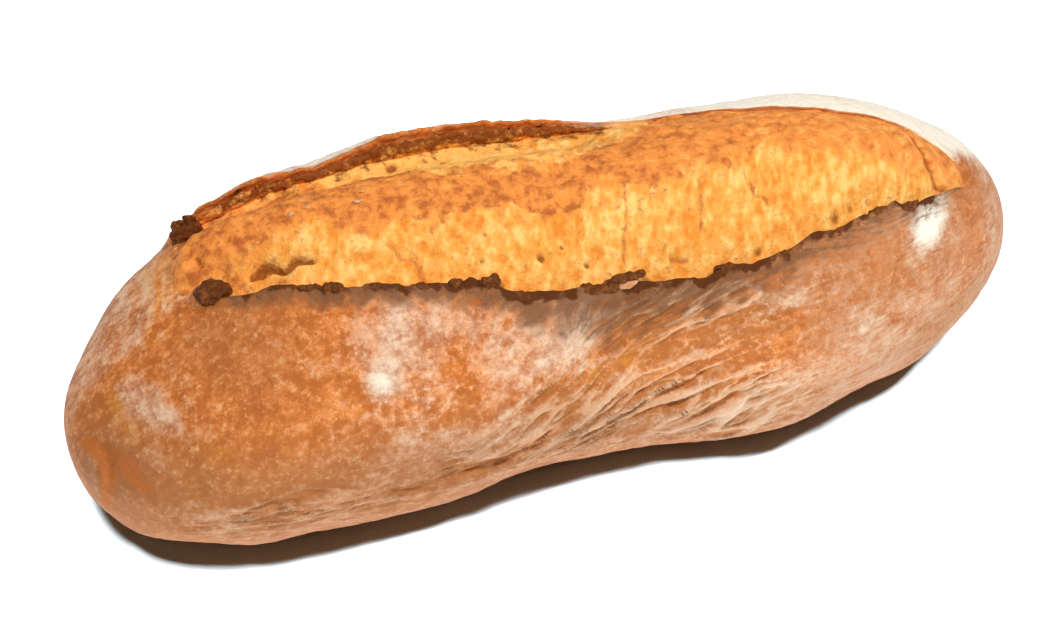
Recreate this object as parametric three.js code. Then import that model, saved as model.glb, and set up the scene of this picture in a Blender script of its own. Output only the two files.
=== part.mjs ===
// A hearth-baked durum wheat loaf, in one piece, resting on its flat underside.
// Millimetres, +Z up, X along the loaf. The origin is on the board, under the middle of the loaf's box.
//
// The loaf is a stack of cross-sections set along X. Each section runs from the middle of the
// underside up the front crust, across the torn top and down the back crust. One long score has
// torn open along the top: a burnt lip stands along its front edge, the new crumb rises behind it
// to a rough brown crest, and along the left half the back crust has lifted into an ear with a
// valley in front of it.

import * as THREE from 'three';

// ---- Driving dimensions ----

const LENGTH = 320;
const HALF = LENGTH / 2;

// Height of the widest line of the side walls, and how far the rounded underside would pass
// below the board if the board did not flatten it.
const BELLY_HEIGHT = 36;
const FLATTENED = 5;

// A circle has a roundness of 2: the section is slightly squarer.
const SECTION_ROUNDNESS = 2.2;

// Height of the two end points, and how bluntly the ends close, in plan and in side view.
const LEFT_END = { height: 38.5, planPower: 3.7, sidePower: 4.1 };
const RIGHT_END = { height: 34, planPower: 2.15, sidePower: 3.6 };
const END_ROUNDNESS = 2.18;

// [place along the loaf from -1 to 1, size]: half width, sideways shift of the axis, crown height.
const HALF_WIDTH = [
  [-1, 60], [-0.6, 64.5], [-0.2, 64], [0.04, 57.6], [0.18, 57.5], [0.36, 61.5], [0.6, 62], [1, 51.5],
];
const AXIS_SHIFT = [
  [-1, -3.8], [-0.6, 9.8], [-0.2, 13.5], [0.04, 8.6], [0.18, 3.5], [0.36, -1], [0.6, -2], [1, -5.2],
];
const CROWN_HEIGHT = [[-1, 60], [-0.6, 82], [-0.2, 86], [0.2, 88], [0.6, 92.5], [1, 94]];

// The two edges of the tear in plan, and the stretch of the loaf over which it is open.
const FRONT_LIP = [
  [-0.68, 8], [-0.45, -7], [-0.2, -18], [0, -28.5], [0.25, -37], [0.5, -36], [0.75, -28], [0.9, -20],
];
const BACK_LIP = [
  [-0.68, 55], [-0.45, 52], [-0.2, 52], [0, 47], [0.25, 34], [0.5, 20.5], [0.75, 2], [0.9, -14],
];
const TEAR_OPENS = [-0.705, -0.66];
const TEAR_CLOSES = [0.76, 0.9];

// Past both ends of the tear its edges keep this share of the half width apart. Where it is open,
// they stay within this share of the half width and wander by this share of the lip's waves.
const CLOSED_EDGE = 0.4;
const WIDEST_EDGE = 0.8;
const EDGE_WANDER = 0.6;
const FRONT_PHASE = 1.3;
const BACK_PHASE = 3.9;

// The ear on the back edge fades out between these two places.
const EAR_ENDS = [0.05, 0.3];
const EAR_HEIGHT = [[-0.69, 11], [-0.61, 6.5], [-0.53, 7.5], [-0.37, 3.6], [-0.2, 8.5], [0, 7], [0.3, 5]];
const EAR_CURL = 0.05;
const EAR_TOP = 0.985;
const EAR_FOOT = 0.96;
const PLAIN_EDGE_HEIGHT = 0.5;

// The back crust below the ear rises with it: how far that reaches across, its share of the ear's
// height, and the heights between which it sets in.
const EAR_SLOPE = { reach: 16, share: 0.7, from: 40, to: 70 };

// The burnt edge of the front crust: how far it stands up, leans over the tear and is undercut.
const LIP_HEIGHT = 2;
const LIP_LEAN = 0.03;
const LIP_UNDERCUT = 2;
const GROOVE_DEPTH = 3.5;

// Height of the torn surface above the crown line, against the share of the way to the back edge.
const CREST_HEIGHT = 5.2;
const VALLEY_DEPTH = 4;
const TEAR_RISE = [[LIP_LEAN, -GROOVE_DEPTH], [0.27, 1], [0.45, CREST_HEIGHT]];
const TEAR_WITH_EAR = [...TEAR_RISE, [0.64, CREST_HEIGHT], [0.84, -VALLEY_DEPTH], [EAR_FOOT, -1.5]];
const TEAR_PLAIN = [...TEAR_RISE, [0.66, 4.8], [0.86, 2.1], [EAR_FOOT, -0.6]];

// The tear's surface reaches its full height only where the tear is this wide. Its streaks fade
// out next to both edges, and the crags of its crest lie between these shares of the way across.
const FULL_TEAR = 42;
const EDGE_FADE = 0.15;
const CREST_STARTS = [0.3, 0.45];
const CREST_STOPS = [0.65, 0.8];
const CRAG_TURN = 9;

// Flakes of burnt crust along the front lip: [place along X, extra height, half length].
const LIP_FLAKES = [
  [-104, 2.6, 6], [-69, 1.2, 6], [-36, 1.8, 4], [-26, 2.4, 4.5], [12, 3.4, 9], [40, 2.4, 6], [101, 1.6, 6],
];

// Waves along X: [wavelength, height, phase].
const LIP_WAVES = [[15, 0.5, 0.4], [27, 0.6, 2.1], [61, 0.7, 4]];
const STREAK_WAVES = [[14, 0.35, 1.1], [23, 0.45, 3.3], [41, 0.5, 0.2]];
const CREST_WAVES = [[17, 0.6, 0.9], [31, 0.7, 2.6], [12, 0.4, 5]];

// Lumps of the crust: [wavelength along X, wavelength up the wall, height, phase].
const LUMPS = [[96, 70, 0.9, 0.5], [58, 44, 0.7, 2.2], [37, 31, 0.45, 4.4]];

// Stretch furrows in the front wall, running down to the left: [x, z] of both ends and the depth.
const FURROWS = [
  { from: [24, 77], to: [-58, 34], depth: 1.1 },
  { from: [40, 72], to: [-6, 47], depth: 1.3 },
  { from: [50, 57], to: [-2, 27], depth: 1.4 },
  { from: [56, 43], to: [14, 22], depth: 1.2 },
  { from: [-12, 35], to: [-74, 28], depth: 0.9 },
];
const FURROW_HALF_WIDTH = 4.2;
const FURROW_TAPER = 0.1;

// The seam where the left end of the dough was folded in.
const END_CREASE = { x: -151.5, low: 27, high: 53, fade: 6, depth: 1.6, halfWidth: 2.6 };

// Relief sets in between these heights above the board, over this length from each end, and over
// this share of each crust arc away from the lip. No lip is further out than this share.
const BOARD_CLEARANCE = [5, 18];
const END_CLEARANCE = 22;
const LIP_CLEARANCE = 0.2;
const WIDEST_LIP = 0.95;

// How finely the surface is divided.
const STATIONS = 88;
const END_CROWDING = 0.25;
const FRONT_STEPS = 22;
const BACK_STEPS = 18;
const TEAR_STEPS = 13;

// ---- Small helpers ----

const { clamp, lerp } = THREE.MathUtils;

const smooth = (from, to, value) => THREE.MathUtils.smoothstep(value, from, to);

const signedPower = (value, power) => Math.sign(value) * Math.abs(value) ** power;

const bump = (distance, reach) => Math.exp(-((distance / reach) ** 2));

// A smooth line through the [place, value] knots. At a knot its slope is the mean of its neighbours'.
function through(knots, place) {
  const last = knots.length - 1;
  const at = clamp(place, knots[0][0], knots[last][0]);
  let k = 0;
  while (k < last - 1 && at > knots[k + 1][0]) {
    k += 1;
  }
  const chord = (i) => (knots[i + 1][1] - knots[i][1]) / (knots[i + 1][0] - knots[i][0]);
  const slope = (i) => (chord(Math.max(i - 1, 0)) + chord(Math.min(i, last - 1))) / 2;
  const span = knots[k + 1][0] - knots[k][0];
  const rise = knots[k + 1][1] - knots[k][1];
  const t = (at - knots[k][0]) / span;
  const bend = span * t * (1 - t) * (slope(k) * (1 - t) - slope(k + 1) * t);
  return knots[k][1] + rise * t * t * (3 - 2 * t) + bend;
}

function waves(list, x, turn = 0) {
  let sum = 0;
  for (const [length, height, phase] of list) {
    sum += height * Math.sin((2 * Math.PI * x) / length + phase + turn);
  }
  return sum;
}

// ---- The loaf's body, without its relief ----

function bodyAt(s) {
  const end = s < 0 ? LEFT_END : RIGHT_END;
  const plan = (1 - Math.abs(s) ** end.planPower) ** (1 / END_ROUNDNESS);
  const side = (1 - Math.abs(s) ** end.sidePower) ** (1 / END_ROUNDNESS);
  return {
    halfWidth: plan * through(HALF_WIDTH, s),
    axis: through(AXIS_SHIFT, s),
    belly: lerp(end.height, BELLY_HEIGHT, side),
    rise: (through(CROWN_HEIGHT, s) - BELLY_HEIGHT) * side,
    drop: (BELLY_HEIGHT + FLATTENED) * side,
  };
}

// Height of the domed top at y, as if it had never been scored.
function crownAt(body, y) {
  const across = clamp(Math.abs(y - body.axis) / body.halfWidth, 0, 1);
  const dome = (1 - across ** SECTION_ROUNDNESS) ** (1 / SECTION_ROUNDNESS);
  return body.belly + body.rise * dome;
}

// ---- Relief ----

// Depth of the stretch furrows at a place on the front wall.
function furrowDepth(x, z) {
  let depth = 0;
  for (const { from, to, depth: full } of FURROWS) {
    const alongX = to[0] - from[0];
    const alongZ = to[1] - from[1];
    const length = Math.hypot(alongX, alongZ);
    const share = ((x - from[0]) * alongX + (z - from[1]) * alongZ) / length ** 2;
    const off = ((x - from[0]) * alongZ - (z - from[1]) * alongX) / length;
    const starts = smooth(-FURROW_TAPER, FURROW_TAPER, share);
    const stops = smooth(1 - FURROW_TAPER, 1 + FURROW_TAPER, share);
    depth += full * starts * (1 - stops) * bump(off, FURROW_HALF_WIDTH);
  }
  return depth;
}

function creaseDepth(x, z) {
  const { low, high, fade } = END_CREASE;
  const upWall = smooth(low - fade, low, z) * (1 - smooth(high, high + fade, z));
  return END_CREASE.depth * upWall * bump(x - END_CREASE.x, END_CREASE.halfWidth);
}

// How far the crust stands out from the smooth body. side is -1 at the front and 1 at the back.
function crustRelief(x, z, side) {
  const clearOfBoard = smooth(...BOARD_CLEARANCE, z);
  const clearOfEnds = smooth(0, END_CLEARANCE, HALF - Math.abs(x));
  let lumps = 0;
  for (const [alongX, upWall, height, phase] of LUMPS) {
    const along = Math.sin((2 * Math.PI * x) / alongX + phase * side);
    lumps += height * along * Math.sin((2 * Math.PI * z) / upWall + phase);
  }
  const hollows = side < 0 ? furrowDepth(x, z) + creaseDepth(x, z) : 0;
  return (lumps * clearOfEnds - hollows) * clearOfBoard;
}

function lipFlake(x) {
  let height = 0;
  for (const [place, extra, halfLength] of LIP_FLAKES) {
    height += extra * bump(x - place, halfLength);
  }
  return height;
}

// ---- One cross-section, as [y, z] points ----

// Crust from the middle of the underside up to a lip. side is -1 for the front, 1 for the back.
function crustArc(x, body, lip, side, steps) {
  const reach = clamp((side * (lip - body.axis)) / body.halfWidth, -WIDEST_LIP, WIDEST_LIP);
  const lipAngle = Math.PI - Math.asin(signedPower(reach, SECTION_ROUNDNESS / 2));
  const points = [];
  for (let k = 0; k < steps; k += 1) {
    const angle = (lipAngle * k) / (steps - 1);
    const out = side * signedPower(Math.sin(angle), 2 / SECTION_ROUNDNESS);
    const up = -signedPower(Math.cos(angle), 2 / SECTION_ROUNDNESS);
    const y = out * body.halfWidth;
    const z = up * (up < 0 ? body.drop : body.rise);
    const distance = Math.hypot(y, z);
    const clearOfLip = smooth(0, LIP_CLEARANCE, 1 - k / (steps - 1));
    const swell = 1 + (clearOfLip * crustRelief(x, body.belly + z, side)) / distance;
    points.push([body.axis + y * swell, body.belly + z * swell]);
  }
  return points;
}

// The torn top between the two lips, from the front to the back.
function tornTop(x, s, body, front, back, open, ear) {
  const gap = back - front;
  const earHeight = through(EAR_HEIGHT, s);
  const swelling = smooth(0, FULL_TEAR, gap);
  const lipRise = LIP_HEIGHT + waves(LIP_WAVES, x) + lipFlake(x);
  const stops = [
    { share: LIP_LEAN, lift: lipRise },
    { share: 0, lift: -LIP_UNDERCUT },
  ];
  for (let k = 0; k < TEAR_STEPS; k += 1) {
    const share = lerp(LIP_LEAN, EAR_FOOT, k / (TEAR_STEPS - 1));
    const inside = smooth(0, EDGE_FADE, share) * (1 - smooth(1 - EDGE_FADE, 1, share));
    const crest = smooth(...CREST_STARTS, share) * (1 - smooth(...CREST_STOPS, share));
    const streaks = waves(STREAK_WAVES, x, share) * inside;
    const crags = waves(CREST_WAVES, x, share * CRAG_TURN) * crest;
    const lift = lerp(through(TEAR_PLAIN, share), through(TEAR_WITH_EAR, share), ear);
    stops.push({ share, lift: (lift + streaks + crags) * swelling });
  }
  stops.push({ share: EAR_TOP - EAR_CURL * ear, lift: lerp(PLAIN_EDGE_HEIGHT, earHeight, ear) });
  return stops.map((stop, k) => {
    const whole = (k + 1) / (stops.length + 1);
    const y = front + gap * lerp(whole, stop.share, open);
    return [y, crownAt(body, y) + open * stop.lift];
  });
}

// The back crust rises towards the ear over its last stretch.
function liftTowardsEar(points, lip, height) {
  const { reach, share, from, to } = EAR_SLOPE;
  return points.map(([y, z]) => {
    const lift = share * height * bump(y - lip, reach) * smooth(from, to, z);
    return [y, z + lift];
  });
}

// Where an edge of the tear lies. side is -1 for the front edge and 1 for the back one.
function edgeAt(x, s, body, knots, side, open, phase) {
  const scored = smooth(-1, TEAR_OPENS[0], s) * (1 - smooth(TEAR_CLOSES[1], 1, s));
  const torn = through(knots, s) + EDGE_WANDER * open * waves(LIP_WAVES, x, phase);
  const widest = WIDEST_EDGE * body.halfWidth;
  const onTop = clamp(torn, body.axis - widest, body.axis + widest);
  return lerp(body.axis + side * CLOSED_EDGE * body.halfWidth, onTop, scored);
}

function sectionAt(s) {
  const x = s * HALF;
  const body = bodyAt(s);
  const open = smooth(...TEAR_OPENS, s) * (1 - smooth(...TEAR_CLOSES, s));
  const ear = 1 - smooth(...EAR_ENDS, s);
  const front = edgeAt(x, s, body, FRONT_LIP, -1, open, FRONT_PHASE);
  const back = edgeAt(x, s, body, BACK_LIP, 1, open, BACK_PHASE);
  const frontCrust = crustArc(x, body, front, -1, FRONT_STEPS);
  const backCrust = crustArc(x, body, back, 1, BACK_STEPS);
  const lifted = liftTowardsEar(backCrust, back, open * ear * through(EAR_HEIGHT, s));
  const torn = tornTop(x, s, body, front, back, open, ear);
  const ring = [...frontCrust, ...torn, ...lifted.slice(1).reverse()];
  return ring.map(([y, z]) => [x, y, Math.max(z, 0)]);
}

// ---- The closed surface ----

// Stations from -1 to 1, crowded towards the ends so that the rounded ends are divided evenly too.
function stations() {
  const slope = 1 / (1 - END_CROWDING / 2);
  return Array.from({ length: STATIONS }, (_, k) => {
    const even = (2 * k) / (STATIONS - 1) - 1;
    const out = Math.abs(even);
    const late = Math.max(out - (1 - END_CROWDING), 0);
    const place = Math.min(out, 1 - END_CROWDING) + late - late ** 2 / (2 * END_CROWDING);
    return Math.sign(even) * slope * place;
  });
}

function loafGeometry() {
  const inner = stations().slice(1, -1);
  const rings = inner.map(sectionAt);
  const size = rings[0].length;
  const leftTip = 0;
  const rightTip = 1;
  const vertex = (ring, point) => 2 + ring * size + (point % size);
  const tips = [
    [-HALF, through(AXIS_SHIFT, -1), LEFT_END.height],
    [HALF, through(AXIS_SHIFT, 1), RIGHT_END.height],
  ];
  const faces = [];
  for (let k = 0; k < size; k += 1) {
    faces.push(leftTip, vertex(0, k), vertex(0, k + 1));
    for (let ring = 0; ring < rings.length - 1; ring += 1) {
      const here = [vertex(ring, k), vertex(ring, k + 1)];
      const next = [vertex(ring + 1, k), vertex(ring + 1, k + 1)];
      faces.push(here[0], next[0], next[1], here[0], next[1], here[1]);
    }
    faces.push(vertex(rings.length - 1, k), rightTip, vertex(rings.length - 1, k + 1));
  }
  const geometry = new THREE.BufferGeometry();
  geometry.setAttribute('position', new THREE.Float32BufferAttribute([...tips, ...rings.flat()].flat(), 3));
  geometry.setIndex(faces);
  geometry.computeBoundingBox();
  const { min, max } = geometry.boundingBox;
  geometry.translate(-(min.x + max.x) / 2, -(min.y + max.y) / 2, -min.z);
  geometry.computeVertexNormals();
  return geometry;
}

// ---- The object ----

const crust = new THREE.MeshStandardMaterial({ color: 0xc98c54, roughness: 0.85, metalness: 0 });

const loaf = new THREE.Mesh(loafGeometry(), crust);
loaf.name = 'loaf';

const bread = new THREE.Group();
bread.add(loaf);

export default bread;
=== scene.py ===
import math

import bpy
import numpy as np
from mathutils import Matrix, Vector


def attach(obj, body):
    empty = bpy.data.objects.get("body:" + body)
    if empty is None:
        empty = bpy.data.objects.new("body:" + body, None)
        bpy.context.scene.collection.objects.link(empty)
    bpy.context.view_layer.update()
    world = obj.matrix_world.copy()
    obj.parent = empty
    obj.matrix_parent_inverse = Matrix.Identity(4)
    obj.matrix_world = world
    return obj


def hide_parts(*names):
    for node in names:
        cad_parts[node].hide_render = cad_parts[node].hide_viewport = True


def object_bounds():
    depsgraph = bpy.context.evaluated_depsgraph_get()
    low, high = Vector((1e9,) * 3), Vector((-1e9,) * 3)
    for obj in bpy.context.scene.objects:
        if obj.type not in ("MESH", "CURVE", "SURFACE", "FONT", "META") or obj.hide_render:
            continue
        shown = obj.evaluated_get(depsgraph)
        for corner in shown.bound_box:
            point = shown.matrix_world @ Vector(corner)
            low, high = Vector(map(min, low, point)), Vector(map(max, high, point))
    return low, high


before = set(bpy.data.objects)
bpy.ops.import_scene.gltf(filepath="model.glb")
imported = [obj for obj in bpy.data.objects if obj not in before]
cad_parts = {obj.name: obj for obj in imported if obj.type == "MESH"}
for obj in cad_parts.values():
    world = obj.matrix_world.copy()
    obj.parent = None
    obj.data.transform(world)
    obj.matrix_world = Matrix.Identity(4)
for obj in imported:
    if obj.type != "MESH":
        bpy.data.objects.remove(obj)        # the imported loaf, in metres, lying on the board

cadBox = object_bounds()
metre = 0.001            # sizes below are millimetres, and this turns them into metres
tau = 2 * math.pi

# the studio, with the camera at the photo's viewing angle
studio = {
    "azimuth": -20.98,             # degrees round the loaf, and above the board
    "elevation": 44.82,
    "lookAt": (-8.69, 0, 44.3),    # in the loaf's own form, before it is centred sideways
    "distance": 1100,
    "nearest": 50,
    "focalPixels": 3415.85,        # focal length in pixels of a picture this wide
    "pictureWidth": 1040,
    "sensor": 36.0,
    "lampPlaces": {"left": (-400, -450, 1150), "right": (400, -450, 1150)},
    "backLamp": (150, 560, 1000),  # only lights the loaf
    "backPower": 2.8,
    "lampAim": (0, 0, 40),
    "lampSize": (130, 130),
    "lampPower": 8.7,
    "floorPower": 50.0,            # of each lamp's twin, which only lights the floor
    "skyColour": (0.6, 0.95, 1.05),
    "skyStrength": 0.04,
    "floorSize": 6000,
    "floorColour": (0.375, 0.42, 0.445),
    "floorRoughness": 0.9,
    "floorSpecular": 0.1,
}


def makeCamera():
    turn = math.radians(studio["azimuth"])
    tilt = math.radians(studio["elevation"])
    back = Vector((math.sin(turn) * math.cos(tilt), -math.cos(turn) * math.cos(tilt), math.sin(tilt)))
    right = Vector((math.cos(turn), math.sin(turn), 0))
    up = back.cross(right)
    lookAt = Vector(studio["lookAt"]) + Vector((0, sideShift(), 0))
    place = (lookAt + back * studio["distance"]) * metre
    bpy.ops.object.camera_add()
    camera = bpy.context.object
    camera.name = "camera"
    camera.data.sensor_width = studio["sensor"]
    camera.data.lens = studio["focalPixels"] / studio["pictureWidth"] * studio["sensor"]
    camera.data.clip_start = studio["nearest"] * metre
    axes = Matrix((right, up, back)).transposed().to_4x4()
    camera.matrix_world = Matrix.Translation(place) @ axes
    bpy.context.scene.camera = camera


def softLight(name, place, power):
    spot = Vector(place) * metre
    bpy.ops.object.light_add(type="AREA", location=spot)
    light = bpy.context.object
    light.name = name
    light.data.shape = "RECTANGLE"
    light.data.size, light.data.size_y = (side * metre for side in studio["lampSize"])
    light.data.energy = power
    towards = Vector(studio["lampAim"]) * metre - spot
    light.rotation_euler = towards.to_track_quat("-Z", "Y").to_euler()
    return light


# the loaf's form, as in the frame; rows in [] give the place along it from -1 to 1, and the size there
loafForm = {
    "half": 160,
    "bellyHeight": 36,
    "flattened": 5,
    "roundness": 2.2,
    "endRoundness": 2.18,
    "leftEnd": {"height": 38.5, "planPower": 3.7, "sidePower": 4.1},
    "rightEnd": {"height": 34, "planPower": 2.15, "sidePower": 3.6},
    "halfWidth": [
        [-1, 60], [-0.6, 64.5], [-0.2, 64], [0.04, 57.6], [0.18, 57.5], [0.36, 61.5], [0.6, 62], [1, 51.5],
    ],
    "axis": [
        [-1, -3.8], [-0.6, 9.8], [-0.2, 13.5], [0.04, 8.6], [0.18, 3.5], [0.36, -1], [0.6, -2], [1, -5.2],
    ],
    "crown": [[-1, 60], [-0.6, 82], [-0.2, 86], [0.2, 88], [0.6, 92.5], [1, 94]],
    "frontLip": [
        [-0.68, 7], [-0.45, -8.5], [-0.2, -20.5], [-0.1, -27.2], [0, -30.3], [0.25, -39.5], [0.5, -38],
        [0.75, -29.5], [0.9, -21.5],
    ],
    "backLip": [
        [-0.68, 55], [-0.45, 52], [-0.2, 52], [0, 47], [0.25, 34], [0.5, 20.5], [0.75, 2], [0.9, -14],
    ],
    "lipReach": 0.8,       # furthest place of the lips, and their place where shut, in half widths
    "shutReach": 0.12,
    "scoreStarts": -0.8,
    "scoreEnds": (0.9, 0.97),
    "tearOpens": (-0.705, -0.66),
    "tearCloses": (0.76, 0.9),
    "earEnds": (0.05, 0.3),
    "earHeight": [[-0.69, 11], [-0.61, 6.5], [-0.53, 7.5], [-0.37, 3.6], [-0.2, 8.5], [0, 7], [0.3, 5]],
    "edgeHeight": 0.9,     # of the back lip where it has no ear
    "earSlope": 16,
    "lipHeight": 1,
    "lipWaves": [[15, 0.5, 0.4], [27, 0.6, 2.1], [61, 0.7, 4]],
    "sideWaves": 0.6,      # share of the waves that the lips also have sideways
    # the tear starts later at its two edges
    "roundedStart": {"x": -115, "bow": 11, "over": 8, "ragged": (5, 8, 31)},
    "lipFlakes": [[-104, 1.2, 6], [-69, 0.8, 6], [12, 1.4, 9], [40, 1.0, 6], [101, 0.8, 6]],
    # height of the torn crumb above the crown line, against the share of the way across the tear
    "tearPlain": [[0.03, -3.5], [0.27, 1], [0.45, 5.2], [0.66, 4.8], [0.86, 2.1], [0.96, -0.6]],
    "tearWithEar": [[0.03, -3.5], [0.27, 1], [0.45, 5.2], [0.64, 5.2], [0.84, -4], [0.96, -1.5]],
    "fullTear": 42,
    "tearWidth": 45,       # about how wide the tear is
    "lumps": [[96, 70, 0.9, 0.5], [58, 44, 0.7, 2.2], [37, 31, 0.45, 4.4]],
    "furrows": [
        [(24, 77), (-58, 34), 1.1], [(40, 72), (-6, 47), 1.3], [(50, 57), (-2, 27), 1.4],
        [(56, 43), (14, 22), 1.2], [(-12, 35), (-74, 28), 0.9],
    ],
    "furrowHalfWidth": 4.2,
    "furrowFade": 0.1,
    "endCrease": {"x": -151.5, "low": 27, "high": 53, "depth": 1.6, "halfWidth": 2.6, "fade": 6},
    "tipFade": 22,
    "boardFade": (5, 18),
}


def smooth(low, high, value):
    share = np.clip((value - low) / (high - low), 0, 1)
    return share * share * (3 - 2 * share)


def mix(a, b, share):
    return a + (b - a) * share


def bump(distance, reach):
    return np.exp(-((distance / reach) ** 2))


def signedPower(value, power):
    return np.sign(value) * np.abs(value) ** power


def through(knots, place):
    # a smooth line through the [place, value] knots
    at, value = np.array(knots, float).T
    place = np.clip(place, at[0], at[-1])
    k = np.clip(np.searchsorted(at, place, side="right") - 1, 0, len(at) - 2)
    chord = np.diff(value) / np.diff(at)
    slope = (np.append(chord[0], chord) + np.append(chord, chord[-1])) / 2
    slope[1:-1] = (chord[:-1] + chord[1:]) / 2
    span = at[k + 1] - at[k]
    share = (place - at[k]) / span
    bend = span * share * (1 - share) * (slope[k] * (1 - share) - slope[k + 1] * share)
    return value[k] + (value[k + 1] - value[k]) * share * share * (3 - 2 * share) + bend


def waves(rows, x, turn=0):
    return sum(height * np.sin(tau * x / length + phase + turn) for length, height, phase in rows)


grain = np.random.default_rng(5)
shuffled = np.tile(grain.permutation(256), 3)
slopes = grain.normal(size=(256, 3))
slopes /= np.linalg.norm(slopes, axis=1, keepdims=True)
noiseHeight = 1.6        # brings the noise to about -1 to 1
noiseStep = 7.31         # how far apart in the noise two picks lie


def noise(place, size, pick=0):
    # smooth bumps of about this size; place holds x, y and z
    size = np.broadcast_to(np.asarray(size, float), 3)
    at = [np.asarray(p, float) / s + pick * noiseStep for p, s in zip(place, size)]
    cell = [np.floor(p).astype(int) for p in at]
    part = [p - c for p, c in zip(at, cell)]
    ease = [p ** 3 * (p * (p * 6 - 15) + 10) for p in part]
    total = 0
    for i in (0, 1):
        first = shuffled[(cell[0] + i) & 255]
        for j in (0, 1):
            second = shuffled[first + ((cell[1] + j) & 255)]
            for k in (0, 1):
                slope = slopes[shuffled[second + ((cell[2] + k) & 255)]]
                weight = 1
                rise = 0
                for axis, near in enumerate((i, j, k)):
                    weight = weight * (ease[axis] if near else 1 - ease[axis])
                    rise = rise + slope[..., axis] * (part[axis] - near)
                total = total + weight * rise
    return noiseHeight * total


def rough(place, size, octaves, pick):
    return sum(noise(place, size / 2 ** k, pick + k) / 2 ** k for k in range(octaves))


def wobble(place, *rows):
    # noise by rows of height, size and pick
    return sum(height * noise(place, size, pick) for height, size, pick in rows)


def unevenEdge(x, rows):
    # noise along the loaf by rows of height, size and place in the noise
    return sum(height * noise((x, y, z), size) for height, size, y, z in rows)


def loafBody(x):
    form = loafForm
    s = np.clip(x / form["half"], -0.999999, 0.999999)
    end = {key: np.where(s < 0, form["leftEnd"][key], form["rightEnd"][key]) for key in form["leftEnd"]}
    plan = (1 - np.abs(s) ** end["planPower"]) ** (1 / form["endRoundness"])
    side = (1 - np.abs(s) ** end["sidePower"]) ** (1 / form["endRoundness"])
    body = {
        "x": x, "s": s,
        "halfWidth": plan * through(form["halfWidth"], s),
        "axis": through(form["axis"], s),
        "belly": mix(end["height"], form["bellyHeight"], side),
        "rise": (through(form["crown"], s) - form["bellyHeight"]) * side,
        "drop": (form["bellyHeight"] + form["flattened"]) * side,
        "open": smooth(*form["tearOpens"], s) * (1 - smooth(*form["tearCloses"], s)),
        "ear": 1 - smooth(*form["earEnds"], s),
    }
    scored = smooth(form["scoreStarts"], form["tearOpens"][0], s) * (1 - smooth(*form["scoreEnds"], s))
    reach = form["lipReach"] * body["halfWidth"]
    for lip, side, phase in (("frontLip", -1, 1.3), ("backLip", 1, 3.9)):
        torn = through(form[lip], s) + form["sideWaves"] * body["open"] * waves(form["lipWaves"], x, phase)
        torn = np.clip(torn, body["axis"] - reach, body["axis"] + reach)
        body[lip] = mix(body["axis"] + side * form["shutReach"] * body["halfWidth"], torn, scored)
    body["gap"] = body["backLip"] - body["frontLip"]
    body["earHeight"] = mix(form["edgeHeight"], through(form["earHeight"], s), body["ear"])
    return body


def openAt(body, share):
    # 1 where the tear is open, by the share of the way across: its left end is rounded and ragged
    x = body["x"] + 0 * share
    begins = startOfTear(x, share)
    shut = 1 - smooth(*loafForm["tearCloses"], body["s"])
    return smooth(begins, begins + loafForm["roundedStart"]["over"], x) * shut


def startOfTear(x, share):
    start = loafForm["roundedStart"]
    bow = start["bow"] * (2 * np.clip(share, 0, 1) - 1) ** 2
    return start["x"] + bow + wobble((x, loafForm["tearWidth"] * share, 3), start["ragged"])


def crownAt(body, y):
    # height of the domed top, as if it had never been scored
    across = np.clip(np.abs(y - body["axis"]) / body["halfWidth"], 0, 1)
    power = loafForm["roundness"]
    return body["belly"] + body["rise"] * (1 - across ** power) ** (1 / power)


def largeRelief(x, z, side):
    # lumps, stretch furrows and the end crease, as in the frame
    form, crease, fade = loafForm, loafForm["endCrease"], loafForm["furrowFade"]
    lumps = 0
    for alongX, upWall, height, phase in form["lumps"]:
        waveX = np.sin(tau * x / alongX + phase * side)
        lumps = lumps + height * waveX * np.sin(tau * z / upWall + phase)
    depth = 0
    if side < 0:
        for start, end, full in form["furrows"]:
            runX, runZ = end[0] - start[0], end[1] - start[1]
            length = math.hypot(runX, runZ)
            share = ((x - start[0]) * runX + (z - start[1]) * runZ) / length ** 2
            off = ((x - start[0]) * runZ - (z - start[1]) * runX) / length
            ends = smooth(-fade, fade, share) * (1 - smooth(1 - fade, 1 + fade, share))
            depth = depth + full * ends * bump(off, form["furrowHalfWidth"])
        along = smooth(crease["low"] - crease["fade"], crease["low"], z)
        along = along * (1 - smooth(crease["high"], crease["high"] + crease["fade"], z))
        depth = depth + crease["depth"] * bump(x - crease["x"], crease["halfWidth"]) * along
    lumps = lumps * smooth(0, form["tipFade"], form["half"] - np.abs(x))
    return (lumps - depth) * smooth(*form["boardFade"], z)


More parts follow.
